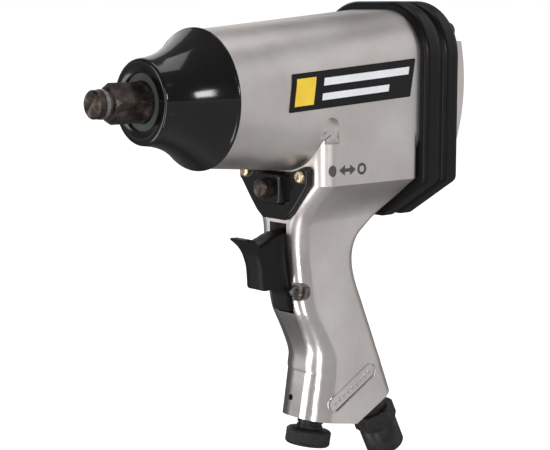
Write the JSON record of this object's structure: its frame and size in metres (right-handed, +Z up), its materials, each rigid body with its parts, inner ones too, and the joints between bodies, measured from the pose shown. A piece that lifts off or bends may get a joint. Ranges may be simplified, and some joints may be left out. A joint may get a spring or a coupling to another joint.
{
  "type": "impact wrench",
  "caption": "Pistol-grip pneumatic impact wrench with a half-inch square drive, rocking-dog hammer, vane air motor, trigger, reverse plunger and air regulator.",
  "frame": {"origin": "centre of the square drive's front end, on the drive axis", "axes": "+X runs back along the drive axis from the drive to the rear cover, +Z up, -Y is the tool's left side with the name plate"},
  "size_m": [0.1961, 0.0734, 0.2242],
  "materials": {
    "cast_aluminium": "satin, belt polished casting",
    "black_paint": "gloss black",
    "phosphated_steel": "dark phosphate, oiled",
    "ground_steel": "ground",
    "hardened_steel": "machined, heat treated",
    "bearing_steel": "polished",
    "bronze": "sintered bronze",
    "brass": "turned brass",
    "zinc_screw": "yellow zinc plated",
    "black_screw": "black oxide",
    "bumper_rubber": "satin",
    "seal_rubber": "matte",
    "gasket_fibre": "fibre sheet",
    "black_plastic": "fine texture",
    "vane_resin": "pressed phenolic",
    "cage_plastic": "moulded",
    "plate_black": "printed film",
    "spring_steel": "drawn wire"
  },
  "bodies": {
    "housing": {"motor_housing": "cast_aluminium", "hammer_case": "black_paint", "front_gasket": "gasket_fibre", "anvil_bushing": "bronze", "nose_seal": "seal_rubber", "front_end_plate": "ground_steel", "rear_end_plate": "ground_steel", "cylinder": "ground_steel", "cylinder_dowel": "ground_steel", "front_bearing_outer_race": "bearing_steel", "rear_bearing_outer_race": "bearing_steel", "rear_gasket": "gasket_fibre", "rear_cover": "cast_aluminium", "spring_washers": "black_screw", "cover_screws": "black_screw", "rear_bumper": "bumper_rubber", "valve_gasket": "gasket_fibre", "valve_cover": "black_paint", "valve_cover_screws": "zinc_screw", "reverse_bush": "brass", "trigger_pin": "hardened_steel", "throttle_bush": "brass", "throttle_spring": "spring_steel", "regulator_pin": "black_screw", "air_inlet": "black_screw", "inlet_washer": "seal_rubber", "inlet_screen": "spring_steel", "side_plug": "ground_steel", "name_plate": "plate_black", "grip_badge": "cast_aluminium"},
    "rotor_group": {"rotor": "ground_steel", "rotor_vanes": "vane_resin", "hammer_cage": "hardened_steel", "hammer_pins": "ground_steel", "front_bearing_inner_race": "bearing_steel", "rear_bearing_inner_race": "bearing_steel"},
    "front_ball_group": {"front_bearing_balls": "bearing_steel", "front_bearing_cage": "cage_plastic"},
    "rear_ball_group": {"rear_bearing_balls": "bearing_steel", "rear_bearing_cage": "cage_plastic"},
    "dog": {"hammer_dog": "hardened_steel"},
    "anvil_group": {"anvil": "phosphated_steel", "anvil_o_ring": "seal_rubber", "friction_ring": "hardened_steel"},
    "trigger_group": {"trigger": "black_plastic"},
    "throttle_group": {"throttle_stem": "ground_steel", "throttle_seal": "seal_rubber"},
    "reverse_group": {"reverse_plunger": "phosphated_steel", "reverse_o_rings": "seal_rubber"},
    "regulator_group": {"regulator": "black_screw", "regulator_o_ring": "seal_rubber"}
  },
  "joints": [
    {"name": "rotor_spin", "type": "hinge", "parent": "housing", "child": "rotor_group", "pos_m": [0.12, 0, 0], "axis": [1, 0, 0], "continuous": true},
    {"name": "front_ball_spin", "type": "hinge", "parent": "housing", "child": "front_ball_group", "pos_m": [0.092, 0, 0], "axis": [1, 0, 0], "continuous": true},
    {"name": "rear_ball_spin", "type": "hinge", "parent": "housing", "child": "rear_ball_group", "pos_m": [0.152, 0, 0], "axis": [1, 0, 0], "continuous": true},
    {"name": "anvil_spin", "type": "hinge", "parent": "housing", "child": "anvil_group", "pos_m": [0.04, 0, 0], "axis": [1, 0, 0], "continuous": true},
    {"name": "dog_rock", "type": "hinge", "parent": "rotor_group", "child": "dog", "pos_m": [0.072, 0, 0.0165], "axis": [1, 0, 0], "range_deg": [0, 10]},
    {"name": "trigger_squeeze", "type": "hinge", "parent": "housing", "child": "trigger_group", "pos_m": [0.106, 0, -0.09], "axis": [0, 1, 0], "range_deg": [0, 12], "stiffness_Nm_per_rad": 0.6, "springref_deg": -28.65},
    {"name": "throttle_push", "type": "slide", "parent": "housing", "child": "throttle_group", "axis": [1, 0, 0], "range_m": [0, 0.0045], "deforming": ["throttle_spring"]},
    {"name": "reverse_push", "type": "slide", "parent": "housing", "child": "reverse_group", "axis": [1, 0, 0], "range_m": [0, 0.007]},
    {"name": "regulator_turn", "type": "hinge", "parent": "housing", "child": "regulator_group", "pos_m": [0.1236, 0, -0.1545], "axis": [-0.1908, 0, -0.9816], "continuous": true}
  ],
  "couplings": [
    {"joint": "anvil_spin", "follows": "rotor_spin", "ratio": 1},
    {"joint": "front_ball_spin", "follows": "rotor_spin", "ratio": 0.385},
    {"joint": "rear_ball_spin", "follows": "rotor_spin", "ratio": 0.385},
    {"joint": "throttle_push", "follows": "trigger_squeeze", "m_per_rad": 0.0185}
  ]
}
